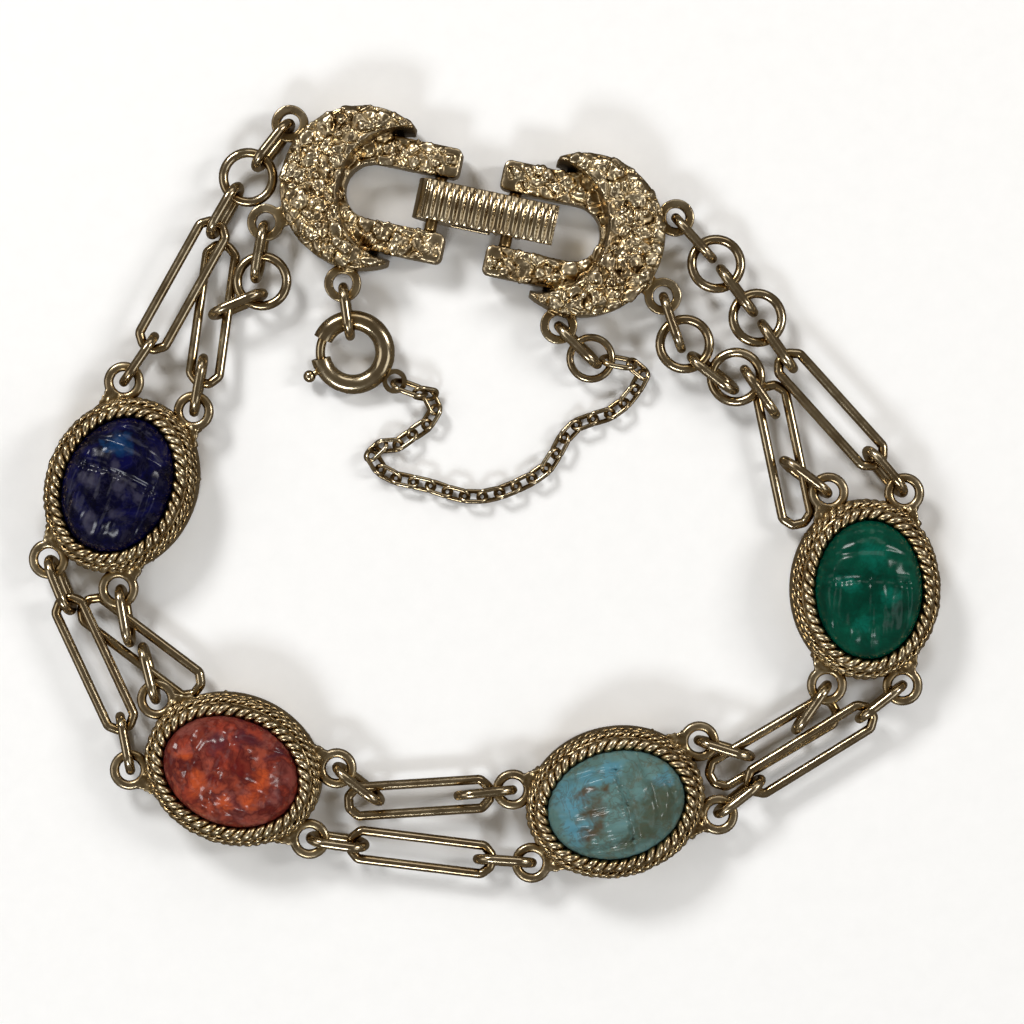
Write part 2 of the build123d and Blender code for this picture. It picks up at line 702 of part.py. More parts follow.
def end_link_plane(held, way):
    """Plane of an end link at its own height, with its near bow passing through the held point."""
    bend = (END_LINK_WIDTH - END_WIRE) / 2
    straight = (END_LINK_LENGTH - END_LINK_WIDTH) / 2
    rolled = link_plane((0, 0, 0), way, END_LINK_ROLL)
    low = (held.Z - END_LINK_HEIGHT) / rolled.y_dir.Z
    reach = straight + sqrt(bend**2 - low**2)
    return link_plane(held + rolled.x_dir * reach - rolled.y_dir * low, way, END_LINK_ROLL)


def build_safety_chain(plane):
    """Curb chain with its end links, from the spring ring's eye to the right crescent's lug."""
    curb_overlap = (CURB_LENGTH - CURB_WIRE - CURB_PITCH) / 2
    curb_start = (END_LINK_LENGTH - END_WIRE) / 2 - (CURB_WIRE + END_WIRE) / 2 - LINK_GAP + curb_overlap
    eye = plane.origin + turned(plane, EYE_ANGLE).x_dir * eye_distance()
    first_way = along(FIRST_LINK_HEADING)
    first_plane = end_link_plane(eye, first_way)
    start = first_plane.origin + first_way * curb_start

    oval_way = along(LAST_OVAL_HEADING)
    oval_row = ("oval", LAST_OVAL_HEADING, LAST_OVAL_ROLL, 0)
    last_oval, oval_end = hang_links(lug_point("right", 3), [oval_row])
    ring_radius = (END_RING_DIAMETER - END_RING_WIRE) / 2
    ring_middle = oval_end + oval_way * ((WIRE + END_RING_WIRE) / 2 + END_PLAY - ring_radius)
    ring_middle = Vector(ring_middle.X, ring_middle.Y, END_RING_HEIGHT)
    last_way = along(LAST_LINK_HEADING)
    held = ring_middle + last_way * (ring_radius - (END_RING_WIRE + END_WIRE) / 2 - END_PLAY)
    last_plane = end_link_plane(held, last_way)
    finish = last_plane.origin + last_way * curb_start
    with BuildPart() as chain:
        for end_plane in (first_plane, last_plane):
            oval_link(end_plane, END_LINK_LENGTH, END_LINK_WIDTH, END_WIRE)
        for curb_plane in curb_planes(start, finish):
            oval_link(curb_plane, CURB_LENGTH, CURB_WIDTH, CURB_WIRE)
        round_link(link_plane(ring_middle, oval_way, 0), END_RING_DIAMETER, END_RING_WIRE)
        add_link(*last_oval[0])
    return chain.part


def build_safety_link():
    """Oval jump ring between the left crescent and the spring ring."""
    way = along(SAFETY_LINK_HEADING)
    play = (CLASP_LUG_HOLE - WIRE) / 2 - LINK_GAP
    middle = lug_point("left", 3) + way * (play + (SAFETY_LINK_LENGTH - WIRE) / 2)
    with BuildPart() as link:
        oval_link(link_plane(middle, way, 90), SAFETY_LINK_LENGTH, SAFETY_LINK_WIDTH, WIRE)
    return link.part


# Assembly
stone_shape = build_stone()
setting_shape = build_setting()
for colour, (x, y, heading) in SETTINGS.items():
    place = Plane(origin=(x, y, 0), x_dir=along(heading), z_dir=UP).location
    write_part("setting_" + colour, setting_shape.moved(place))
    write_part("stone_" + colour, stone_shape.moved(place))

for side in ("left", "right"):
    write_part("clasp_" + side, build_crescent(side))
write_part("clasp_bar", build_bar())

for strand in [*STRANDS, *SLACK_STRANDS]:
    placed = hanging_strand(strand) if strand in STRANDS else slack_strand(strand)
    middle = [kind for kind, plane in placed].index("long")
    first_name = "oval_" + strand + "_first" if middle == 1 else "chain_" + strand
    write_part(first_name, build_links(placed[:middle]))
    write_part("long_" + strand, build_links([placed[middle]]))
    write_part("oval_" + strand + "_last", build_links(placed[middle + 1 :]))

ring_plane = spring_ring_plane()
write_part("safety_link", build_safety_link())
write_part("spring_ring", build_spring_ring(ring_plane))
write_part("spring_ring_trigger", build_trigger(ring_plane))
write_part("safety_chain", build_safety_chain(ring_plane))
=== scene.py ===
"""Scarab bracelet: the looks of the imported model, with a pale floor, studio light and the photo's camera."""
import json
import math

import bmesh
import bpy
import numpy as np
from mathutils import Matrix, Vector, noise


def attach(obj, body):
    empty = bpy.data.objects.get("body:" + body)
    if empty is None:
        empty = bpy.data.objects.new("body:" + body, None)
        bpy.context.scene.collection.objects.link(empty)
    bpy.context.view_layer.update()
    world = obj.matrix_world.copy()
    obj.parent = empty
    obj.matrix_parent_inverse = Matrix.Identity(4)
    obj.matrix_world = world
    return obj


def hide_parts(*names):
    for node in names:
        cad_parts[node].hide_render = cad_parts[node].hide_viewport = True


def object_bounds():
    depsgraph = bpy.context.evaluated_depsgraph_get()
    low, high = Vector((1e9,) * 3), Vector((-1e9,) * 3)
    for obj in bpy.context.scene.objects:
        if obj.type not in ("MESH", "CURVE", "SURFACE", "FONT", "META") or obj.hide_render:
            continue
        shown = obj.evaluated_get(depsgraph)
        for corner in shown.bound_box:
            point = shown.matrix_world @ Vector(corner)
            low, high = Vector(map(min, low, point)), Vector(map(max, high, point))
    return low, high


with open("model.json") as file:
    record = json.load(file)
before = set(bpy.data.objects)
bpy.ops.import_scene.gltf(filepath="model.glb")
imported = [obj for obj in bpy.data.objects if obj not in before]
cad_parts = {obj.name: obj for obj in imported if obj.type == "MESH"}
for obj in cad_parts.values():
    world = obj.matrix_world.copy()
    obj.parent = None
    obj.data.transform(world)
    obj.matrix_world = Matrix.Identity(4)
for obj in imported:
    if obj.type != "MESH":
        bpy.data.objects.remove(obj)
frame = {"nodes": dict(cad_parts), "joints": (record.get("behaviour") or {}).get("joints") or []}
cad_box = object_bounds()

MM = 0.001
BOX_MARGIN = 0.005 * MM
COLOURS = ("blue", "coral", "aqua", "green")

# Settings, in millimetres in a setting's own frame: X along its long way, Z up from its back
RIM_HALF_LENGTH = 5.96
RIM_HALF_WIDTH = 4.81
POCKET_HALF_LENGTH = 5.2
POCKET_HALF_WIDTH = 4.05
SEAT_HEIGHT = 1.0
WALL_HEIGHT = 3.7
WALL_FLARE = 0.55
RIM_DROP = 0.15
# Ropes round a setting: offset from its rim, height, radius and turns
ROPES = (
    (-0.50, 3.66, 0.46, 21),
    (0.10, 3.16, 0.28, 27),
    (0.24, 2.64, 0.26, 29),
    (0.36, 2.12, 0.26, 30),
)
ROPE_WANDER = 0.09
ROPE_WANDER_PER_MM = 0.9
ROPE_WANDER_SEED = 1
ROPE_HELIX_SHARE = 0.52
ROPE_WIRE_SHARE = 0.60
ROPE_STEPS_PER_TURN = 14
ROPE_STRANDS = 2
ROPE_STRAND_SHIFT = 9
TUBE_SIDES = 8
LUG_ALONG = 7.0
LUG_ACROSS = 2.75
LUG_OUTER_RADIUS = 1.48
LUG_HOLE_RADIUS = 0.76
LUG_MID_HEIGHT = 1.86
LUG_THICKNESS = 0.6
LUG_WEB_INNER = 3.1
LUG_WEB_OUTER = 0.95
LUG_WEB_WIDE = 1.9
LUG_WEB_NARROW = 0.95
LUG_WEB_OUTSIDE = 1.2
LUG_ROUNDNESS = 0.85
CAST_VOXEL = 0.125
# Cast texture of the wall: its rise, its lumps to the millimetre, their limits, and where it begins and ends
TEXTURE_RISE = 0.34
TEXTURE_PER_MM = 1.9
TEXTURE_LEVEL = 0.25
TEXTURE_DEEPEST = -0.5
TEXTURE_TALLEST = 0.7
TEXTURE_LOW = 0.7
TEXTURE_HIGH = 3.3
TEXTURE_REACH = 6.0
TEXTURE_POCKET_SHARE = 1.05

# Stones
STONE_HALF_LENGTH = 5.15
STONE_HALF_WIDTH = 4.0
GIRDLE_HEIGHT = 2.4
DOME_HEIGHT = 3.28
DOME_POWER = 2.7
STONE_AROUND = 176
STONE_RINGS = 84
STONE_INNER_RING = 0.02
STONE_LIFT = 0.02
# How deep the scarab's lines are cut, and how lumpy the glass is
STONE_RELIEF = {"blue": (0.75, 0.5), "coral": (0.5, 0.95), "aqua": (1.1, 0.7), "green": (0.55, 0.45)}
FIRST_SEED = 1.3
SEED_STEP = 4.7
# The scarab's lines, as shares of the stone's half length and width, with how far each bends back
WING_LINE = 0.16
WING_BEND = 0.10
THORAX_LINE = 0.56
THORAX_BEND = 0.22
WING_SIDE = 0.66
WING_SIDE_BEND = 0.25
WING_SIDE_MIDDLE = -0.3
SNOUT_LINE = 0.80
SNOUT_BEND = 0.35
# The lines' widths as such shares and their depths in millimetres
WING_GROOVE = (0.055, 0.30)
THORAX_GROOVE = (0.05, 0.20)
SPINE_GROOVE = (0.05, 0.20)
WING_SIDE_GROOVE = (0.06, 0.20)
SNOUT_GROOVE = (0.05, 0.16)
# Fine ridges: their rise in millimetres and how close they stand
WING_RIDGE_RISE = 0.03
WING_RIDGES = 34
LEG_RISE = 0.08
LEGS_FROM = 0.66
LEGS_ALONG = 9
LEGS_ACROSS = 7
SNOUT_RIDGE_RISE = 0.06
SNOUT_RIDGES = 26
EYE_RISE = 0.16
EYE_ALONG = 0.66
EYE_ACROSS = 0.28
EYE_LENGTH = 0.07
EYE_WIDTH = 0.10
# Lumps of the glass: how many along, how many across, the drift from stone to stone, and the rise
LUMPS = (3.6, 2.9, 1.7)
LUMP_RISE = 0.34
FINE_LUMPS = (9, 8, 0.7)
FINE_LUMP_RISE = 0.06
# How wide the carving fades out at the edge, and how far it may rise at the crown and outwards from it
CARVING_FADE = 0.12
CROWN_RISE = 0.02
OUTWARD_RISE = 0.25
# How far the colours of the glass are pushed about, in millimetres
WARP = 3.4

# Clasp
CRESCENT_VOXEL = 0.09
CRESCENT_REACH = 5.4
CRESCENT_RADIUS = 5.9
PIN_SPACING = 5.56
PIN_REACH = 0.6
ARM_INNER = 2.05
WELD_DISTANCE = 0.002
SMOOTHING_ROUNDS = 14
SMOOTHING_FROM = 1.95
SMOOTHING_UPWARD = 0.2
# Facets of the cast surface, their tilts, the notches between them, finer ones on them, and the limits
FACETS_PER_MM = 0.95
FACET_SHIFT = Vector((3.3, 1.7, 0.4))
FACET_TILT = 0.32
FACET_SEED = 7.0
NOTCH_RISE = 0.16
NOTCH_WIDTH = 0.3
NOTCH_LEVEL = 0.6
FINE_PER_FACET = 2.1
FINE_RISE = 0.11
FINE_LEVEL = 0.3
FACET_LOW = -0.34
FACET_HIGH = 0.28
# Facets are left out on faces that look less upwards than this, and on the lugs and cross pins
UPWARD = 0.25
UPWARD_FADE = 0.3
DISC_MARGIN = 0.15
LUGS_BELOW = 2.4
BAR_VOXEL = 0.065
RIB_RISE = 0.22
RIB_PITCH = 0.55
RIB_FIRST = -0.6
RIB_COUNT = 17
BAR_CROWN = 0.34
BAR_CROWN_DEPTH = 0.75
BAR_CROWN_POWER = 2.4
BAR_TOP_MARGIN = 0.03
BAR_TOP_UPWARD = 0.3

# Looks: noises and cells are given by how many there are to the metre
OCCLUSION_SAMPLES = 6
OCCLUSION_DISTANCE = 1.1
# Gold by ambient occlusion: brown in the recesses, partly patina and partly painted shade, an amber painted
# reflection at their edges, champagne on open faces
GOLD_PAINTED_SHADE_AND_PATINA = [
    (0.18, (0.030, 0.017, 0.008)),
    (0.42, (0.25, 0.145, 0.05)),
    (0.66, (0.41, 0.300, 0.140)),
    (0.95, (0.51, 0.432, 0.300)),
]
GOLD_TINTS = [(0.32, (0.68, 0.62, 0.55)), (0.66, (1.0, 1.0, 1.0))]
GOLD_TINT_SCALE = 420
GOLD_WEAR_SCALE = 900
GOLD_SCRATCH_SCALE = 3600
GOLD_DENT_SCALE = 1300
GLASS_WARP_SCALE = 560
GLASS_PIT_SCALE = 1100
SPOT_STRENGTH = 0.85
SPOT_CORE = 0.4
SPOT_EDGE = 1.35
CELL_STRENGTH = 0.75
SEAM_STRENGTH = 0.7
SEAM_WIDTH = 0.22
VEIN_WIDTH = 0.04
FLOOR_TINTS = [(0.3, (0.93, 0.94, 0.955)), (0.7, (0.955, 0.965, 0.98))]
FLOOR_SCALE = 700

# Camera, in millimetres: straight above, as far off as the photo's perspective says
CAMERA_X = 2.01
CAMERA_Y = -1.29
CAMERA_DISTANCE = 200.0
VIEW_WIDTH = 75.2
SENSOR = 36.0
CLIP_START = 1.0

# Floor: half its width in metres, and how far under the bracelet it lies in millimetres
FLOOR_HALF = 3
FLOOR_DROP = 0.02

# Light of the room, and area lights aimed at the origin: place and size in metres, power and colour
WORLD_COLOUR = (0.26, 0.22, 0.165, 1)
WORLD_STRENGTH = 0.55
LIGHTS = {
    "key": ((-0.22, 0.30, 0.30), (0.13, 0.10), 1.25, (1.0, 0.99, 0.97)),
    "side": ((0.34, 0.08, 0.26), (0.08, 0.14), 0.6, (1.0, 0.98, 0.95)),
    "low": ((-0.10, -0.32, 0.26), (0.15, 0.08), 0.65, (0.95, 0.98, 1.0)),
    "box_left": ((-0.42, -0.04, 0.30), (0.30, 0.26), 0.32, (1.0, 0.98, 0.96)),
    "box_right": ((0.38, -0.22, 0.34), (0.26, 0.24), 0.30, (0.96, 0.98, 1.0)),
    "box_back": ((0.12, 0.46, 0.32), (0.34, 0.20), 0.34, (1.0, 0.97, 0.93)),
}


def node_material(name):
    """New node material, with its tree and its principled shader."""
    material = bpy.data.materials.new(name)
    material.use_nodes = True
    return material, material.node_tree, material.node_tree.nodes["Principled BSDF"]


def add_noise(tree, coordinates, scale, detail=4.0, roughness=0.55, distortion=0.0):
    """Noise texture at so many features to the metre."""
    texture = tree.nodes.new("ShaderNodeTexNoise")
    texture.inputs["Scale"].default_value = scale
    texture.inputs["Detail"].default_value = detail
    texture.inputs["Roughness"].default_value = roughness
    texture.inputs["Distortion"].default_value = distortion
    tree.links.new(coordinates, texture.inputs["Vector"])
    return texture


def add_ramp(tree, value, stops):
    """Colour ramp with its stops as (place, colour)."""
    ramp = tree.nodes.new("ShaderNodeValToRGB")
    elements = ramp.color_ramp.elements
    while len(elements) < len(stops):
        elements.new(0.5)
    for element, (place, colour) in zip(elements, stops):
        element.position = place
        element.color = (*colour, 1)
    tree.links.new(value, ramp.inputs["Fac"])
    return ramp.outputs["Color"]


def add_range(tree, value, low, high, from_low, from_high):
    """Value between low and high, as the given one goes between its own limits."""
    node = tree.nodes.new("ShaderNodeMapRange")
    node.inputs["From Min"].default_value = from_low
    node.inputs["From Max"].default_value = from_high
    node.inputs["To Min"].default_value = low
    node.inputs["To Max"].default_value = high
    tree.links.new(value, node.inputs["Value"])
    return node.outputs["Result"]


def add_maths(tree, operation, first, second=None, kind="ShaderNodeMath"):
    """Maths node, where the second side is a socket, a constant or left out."""
    node = tree.nodes.new(kind)
    node.operation = operation
    tree.links.new(first, node.inputs[0])
    if isinstance(second, bpy.types.NodeSocket):
        tree.links.new(second, node.inputs[1])
    elif second is not None:
        node.inputs[1].default_value = second
    return node


def add_mix(tree, factor, first, second, blend="MIX"):
    """Colour mix, where each side is a socket or a colour."""
    mix = tree.nodes.new("ShaderNodeMix")
    mix.data_type = "RGBA"
    mix.blend_type = blend
    for socket, source in ((mix.inputs[0], factor), (mix.inputs[6], first), (mix.inputs[7], second)):
        if isinstance(source, bpy.types.NodeSocket):
            tree.links.new(source, socket)
        elif isinstance(source, float):
            socket.default_value = source
        else:
            socket.default_value = (*source, 1)
    return mix.outputs[2]


def add_bump(tree, height, strength, distance, normal=None):
    """Bump from a height, laid over another bump where one is given."""
    bump = tree.nodes.new("ShaderNodeBump")
    bump.inputs["Strength"].default_value = strength
    bump.inputs["Distance"].default_value = distance
    tree.links.new(height, bump.inputs["Height"])
    if normal is not None:
        tree.links.new(normal, bump.inputs["Normal"])
    return bump.outputs["Normal"]


def gold_material(name, grain, roughness):
    """Champagne gold plate with fine scratches: pale on its edges, and in its recesses an amber painted
    reflection, then brown that is partly patina and partly painted shade.
    """
    material, tree, shader = node_material(name)
    place = tree.nodes.new("ShaderNodeTexCoord").outputs["Object"]
    # Painted shade and reflection: the colour follows ambient occlusion, brown in recesses (partly patina) and
    # amber at their edges
    occlusion = tree.nodes.new("ShaderNodeAmbientOcclusion")
    occlusion.samples = OCCLUSION_SAMPLES
    occlusion.inputs["Distance"].default_value = OCCLUSION_DISTANCE * MM
    depth = add_ramp(tree, occlusion.outputs["AO"], GOLD_PAINTED_SHADE_AND_PATINA)
    tint = add_noise(tree, place, GOLD_TINT_SCALE)
    shade = add_ramp(tree, tint.outputs["Fac"], GOLD_TINTS)
    colour = add_mix(tree, 1.0, depth, shade, "MULTIPLY")
    tree.links.new(colour, shader.inputs["Base Color"])
    shader.inputs["Metallic"].default_value = 1
    wear = add_noise(tree, place, GOLD_WEAR_SCALE, detail=5)
    rough = add_range(tree, wear.outputs["Fac"], *roughness, 0.3, 0.7)
    tree.links.new(rough, shader.inputs["Roughness"])
    scratches = add_noise(tree, place, GOLD_SCRATCH_SCALE, detail=1, roughness=0.5)
    fine = add_bump(tree, scratches.outputs["Fac"], 0.05, 0.03 * MM)
    dents = add_noise(tree, place, GOLD_DENT_SCALE, detail=1)
    normal = add_bump(tree, dents.outputs["Fac"], grain, 0.12 * MM, fine)
    tree.links.new(normal, shader.inputs["Normal"])
    return material


def add_spots(tree, place, spots):
    """One mask of several soft round spots, each given as its middle and radius in metres."""
    total = None
    for centre, radius in spots:
        distance = add_maths(tree, "DISTANCE", place, centre, "ShaderNodeVectorMath").outputs["Value"]
        mask = add_range(tree, distance, SPOT_STRENGTH, 0, radius * SPOT_CORE, radius * SPOT_EDGE)
        total = mask if total is None else add_maths(tree, "MAXIMUM", total, mask).outputs["Value"]
    return total


def add_cells(tree, place, colour, scale, stops, seam):
    """Rounded lumps of slightly different colours, with darker seams between them."""
    cells = tree.nodes.new("ShaderNodeTexVoronoi")
    cells.inputs["Scale"].default_value = scale
    tree.links.new(place, cells.inputs["Vector"])
    tone = add_ramp(tree, cells.outputs["Color"], stops)
    mixed = add_mix(tree, CELL_STRENGTH, colour, tone)
    borders = tree.nodes.new("ShaderNodeTexVoronoi")
    borders.feature = "DISTANCE_TO_EDGE"
    borders.inputs["Scale"].default_value = scale
    tree.links.new(place, borders.inputs["Vector"])
    near = add_range(tree, borders.outputs["Distance"], SEAM_STRENGTH, 0, 0, SEAM_WIDTH)
    return add_mix(tree, near, mixed, seam)


def stone_material(colour, look):
    """Glossy glass: clouded and veined, with a few spots of other colours where the photo shows them, and a
    painted glint on the blue stone.
    """
    material, tree, shader = node_material("glass_" + colour)
    place = tree.nodes.new("ShaderNodeTexCoord").outputs["Object"]
    warp = add_noise(tree, place, GLASS_WARP_SCALE, detail=3, roughness=0.6)
    shift = tree.nodes.new("ShaderNodeVectorMath")
    shift.operation = "MULTIPLY_ADD"
    tree.links.new(warp.outputs["Color"], shift.inputs[0])
    shift.inputs[1].default_value = (WARP * MM,) * 3
    tree.links.new(place, shift.inputs[2])
    warped = shift.outputs["Vector"]
    level = add_maths(tree, "MULTIPLY", warped, (1, 1, 0), "ShaderNodeVectorMath").outputs["Vector"]
    cloud = add_noise(tree, place, look["cloud_scale"], detail=6, roughness=0.62, distortion=0.9)
    result = add_ramp(tree, cloud.outputs["Fac"], look["stops"])
    if "cells" in look:
        result = add_cells(tree, warped, result, *look["cells"])
    patch_noise = add_noise(tree, place, look["patch_scale"], detail=4, roughness=0.6, distortion=0.5)
    patch = add_range(tree, patch_noise.outputs["Fac"], 0, look["patch_share"], *look["patch_range"])
    result = add_mix(tree, patch, result, look["patch"])
    centre = STONE_PLACES[colour]
    # Spots of other colours in the glass; the first pair on the blue stone is a painted glint instead
    for tone, spots in look["spots"]:
        places = []
        for x, y, radius in spots:
            middle = (centre.x + (x + WARP / 2) * MM, centre.y + (y + WARP / 2) * MM, 0)
            places.append((middle, radius * MM))
        result = add_mix(tree, add_spots(tree, level, places), result, tone)
    vein_noise = add_noise(tree, place, look["vein_scale"], detail=5, roughness=0.6, distortion=1.6)
    ridge = add_maths(tree, "SUBTRACT", vein_noise.outputs["Fac"], 0.5).outputs["Value"]
    width = add_maths(tree, "ABSOLUTE", ridge).outputs["Value"]
    vein = add_range(tree, width, look["vein_share"], 0, 0, VEIN_WIDTH)
    result = add_mix(tree, vein, result, look["vein"])
    tree.links.new(result, shader.inputs["Base Color"])
    shader.inputs["Roughness"].default_value = 0.19
    shader.inputs["IOR"].default_value = 1.5
    shader.inputs["Specular IOR Level"].default_value = 0.2
    shader.inputs["Subsurface Weight"].default_value = 0.2
    shader.inputs["Subsurface Radius"].default_value = (0.9, 0.6, 0.5)
    shader.inputs["Subsurface Scale"].default_value = 0.5 * MM
    pits = add_noise(tree, place, GLASS_PIT_SCALE, detail=1)
    normal = add_bump(tree, pits.outputs["Fac"], 0.06, 0.1 * MM)
    tree.links.new(normal, shader.inputs["Normal"])
    return material


# Each stone's colours; spots are given in millimetres from the stone's middle, with their radius
STONE_LOOKS = {
    "blue": {
        "cloud_scale": 430,
        "stops": [
            (0.32, (0.0004, 0.0004, 0.005)),
            (0.50, (0.0008, 0.001, 0.016)),
            (0.62, (0.0015, 0.002, 0.042)),
            (0.78, (0.006, 0.007, 0.055)),
        ],
        "patch_scale": 850,
        "patch_range": (0.56, 0.62),
        "patch_share": 0.6,
        "patch": (0.020, 0.019, 0.038),
        "spots": [
            # Painted glint: a brighter blue patch where a highlight falls near the top of the stone; the
            # grey-lavender spots after it are the glass's own colour
            ((0.004, 0.040, 0.13), [(0.3, 3.0, 0.9), (-0.9, 2.8, 0.5)]),
            (
                (0.040, 0.038, 0.068),
                [
                    (-1.6, 0.7, 0.5),
                    (0.2, 1.1, 0.5),
                    (0.6, 0.1, 0.6),
                    (1.5, -0.7, 0.4),
                    (0.2, -2.0, 0.6),
                    (-1.8, -2.8, 0.5),
                ],
            ),
        ],
        "vein_scale": 620,
        "vein": (0.045, 0.043, 0.085),
        "vein_share": 0.14,
    },
    "coral": {
        "cloud_scale": 420,
        "stops": [
            (0.30, (0.075, 0.010, 0.007)),
            (0.46, (0.16, 0.024, 0.014)),
            (0.60, (0.27, 0.050, 0.028)),
            (0.78, (0.20, 0.040, 0.028)),
        ],
        "patch_scale": 620,
        "patch_range": (0.52, 0.64),
        "patch_share": 0.75,
        "patch": (0.25, 0.075, 0.060),
        "spots": [
            (
                (0.50, 0.085, 0.024),
                [(-2.3, -0.6, 0.8), (2.2, -0.4, 0.7), (1.7, -1.8, 0.7), (-3.2, 1.3, 0.6), (-0.4, -2.2, 0.6)],
            ),
            ((0.075, 0.016, 0.026), [(1.2, 2.3, 0.8), (-0.9, 2.2, 0.7), (3.2, 1.4, 0.5)]),
            (
                (0.11, 0.008, 0.008),
                [(0.4, 0.8, 0.5), (-1.0, 1.1, 0.4), (-0.9, -0.2, 0.35), (0.9, 0.2, 0.35)],
            ),
        ],
        "cells": (
            600,
            [
                (0.2, (0.34, 0.052, 0.028)),
                (0.45, (0.10, 0.014, 0.012)),
                (0.6, (0.38, 0.075, 0.038)),
                (0.8, (0.21, 0.055, 0.050)),
            ],
            (0.060, 0.008, 0.009),
        ),
        "vein_scale": 520,
        "vein": (0.09, 0.012, 0.014),
        "vein_share": 0.4,
    },
    "aqua": {
        "cloud_scale": 330,
        "stops": [
            (0.30, (0.08, 0.13, 0.12)),
            (0.45, (0.10, 0.19, 0.18)),
            (0.60, (0.125, 0.235, 0.235)),
            (0.78, (0.10, 0.22, 0.25)),
        ],
        "patch_scale": 700,
        "patch_range": (0.58, 0.68),
        "patch_share": 0.6,
        "patch": (0.11, 0.11, 0.065),
        "spots": [
            (
                (0.095, 0.27, 0.36),
                [(-3.3, 0.5, 1.3), (-2.9, -1.5, 1.1), (3.3, 2.0, 0.5), (-0.6, 2.6, 0.9), (-2.2, 1.9, 0.8)],
            ),
            (
                (0.060, 0.072, 0.042),
                [(3.1, -0.4, 1.6), (3.4, 0.9, 1.0), (1.9, -1.4, 1.1), (2.3, 0.7, 0.9), (0.6, -2.6, 0.7)],
            ),
            (
                (0.085, 0.045, 0.016),
                [(-1.7, -0.5, 0.75), (-1.6, -1.6, 0.7), (-0.9, 1.0, 0.55), (-2.2, 0.8, 0.5)],
            ),
        ],
        "vein_scale": 420,
        "vein": (0.08, 0.08, 0.05),
        "vein_share": 0.55,
    },
    "green": {
        "cloud_scale": 360,
        "stops": [
            (0.30, (0.0, 0.022, 0.013)),
            (0.46, (0.0, 0.044, 0.026)),
            (0.60, (0.001, 0.068, 0.040)),
            (0.78, (0.002, 0.10, 0.062)),
        ],
        "patch_scale": 600,
        "patch_range": (0.56, 0.70),
        "patch_share": 0.5,
        "patch": (0.002, 0.035, 0.024),
        "spots": [
            ((0.002, 0.115, 0.080), [(0.2, 2.6, 0.9), (-1.8, 0.5, 0.6), (1.4, -0.8, 0.6), (-0.6, -2.4, 0.6)]),
        ],
        "vein_scale": 520,
        "vein": (0.001, 0.032, 0.02),
        "vein_share": 0.4,
    },
}


def add_piece(name, mesh, material, body="bracelet"):
    """New smooth-shaded piece that rides on a body, kept inside the CAD's box."""
    points, _ = mesh_arrays(mesh)
    low, high = np.array(cad_box)
    set_points(mesh, np.clip(points, low + BOX_MARGIN, high - BOX_MARGIN))
    mesh.materials.clear()
    mesh.materials.append(material)
    for polygon in mesh.polygons:
        polygon.use_smooth = True
    piece = bpy.data.objects.new(name, mesh)
    bpy.context.scene.collection.objects.link(piece)
    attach(piece, body)
    return piece


def mesh_from(name, points, faces):
    """New mesh from points and faces."""
    mesh = bpy.data.meshes.new(name)
    mesh.from_pydata([tuple(point) for point in points], [], faces)
    mesh.validate()
    return mesh


def remeshed(mesh, voxel):
    """The union of a mesh's closed shells, as one even skin."""
    holder = bpy.data.objects.new("remesh_holder", mesh)
    bpy.context.scene.collection.objects.link(holder)
    modifier = holder.modifiers.new("skin", "REMESH")
    modifier.mode = "VOXEL"
    modifier.voxel_size = voxel
    modifier.use_smooth_shade = True
    bpy.context.view_layer.update()
    evaluated = holder.evaluated_get(bpy.context.evaluated_depsgraph_get())
    skin = bpy.data.meshes.new_from_object(evaluated)
    bpy.data.objects.remove(holder)
    return skin


def welded(mesh):
    """The mesh with the seams between its faces closed."""
    work = bmesh.new()
    work.from_mesh(mesh)
    bmesh.ops.remove_doubles(work, verts=work.verts, dist=WELD_DISTANCE)
    work.to_mesh(mesh)
    work.free()
    return mesh


def mesh_arrays(mesh):
    """A mesh's points and normals as arrays."""
    points = np.empty(len(mesh.vertices) * 3)
    mesh.vertices.foreach_get("co", points)
    normals = np.empty(len(mesh.vertices) * 3)
    mesh.vertex_normals.foreach_get("vector", normals)
    return points.reshape(-1, 3), normals.reshape(-1, 3)


def set_points(mesh, points):
    """Moves a mesh's points."""
    mesh.vertices.foreach_set("co", np.asarray(points, dtype=float).ravel())
    mesh.update()


def extent(values):
    """The middle of a row of numbers, and half their spread."""
    return (values.max() + values.min()) / 2, (values.max() - values.min()) / 2


def setting_matrix(colour):
    """Where a setting lies, from its stone's CAD node: its middle and the turn of its long axis."""
    points, _ = mesh_arrays(frame["nodes"]["stone_" + colour].data)
    flat = points[:, :2]
    turns = [math.radians(step / 2) for step in range(360)]
    half_widths = [extent(flat @ np.array([-math.sin(turn), math.cos(turn)]))[1] for turn in turns]
    turn = turns[int(np.argmin(half_widths))]
    way = np.array([math.cos(turn), math.sin(turn)])
    side = np.array([-way[1], way[0]])
    middle = way * extent(flat @ way)[0] + side * extent(flat @ side)[0]
    return Matrix.Translation((middle[0], middle[1], 0)) @ Matrix.Rotation(turn, 4, "Z")


def ellipse_frames(half_length, half_width, count):
    """Points and outward normals at even steps round an ellipse."""
    angles = np.linspace(0, 2 * math.pi, 4001)
    outline = np.stack([half_length * np.cos(angles), half_width * np.sin(angles)], axis=1)
    lengths = np.concatenate([[0], np.cumsum(np.linalg.norm(np.diff(outline, axis=0), axis=1))])
    even = np.interp(np.arange(count) / count * lengths[-1], lengths, angles)
    points = np.stack([half_length * np.cos(even), half_width * np.sin(even), np.zeros(count)], axis=1)
    tangents = np.stack([-half_length * np.sin(even), half_width * np.cos(even), np.zeros(count)], axis=1)
    tangents /= np.linalg.norm(tangents, axis=1)[:, None]
    outward = np.stack([tangents[:, 1], -tangents[:, 0], np.zeros(count)], axis=1)
    return points, outward


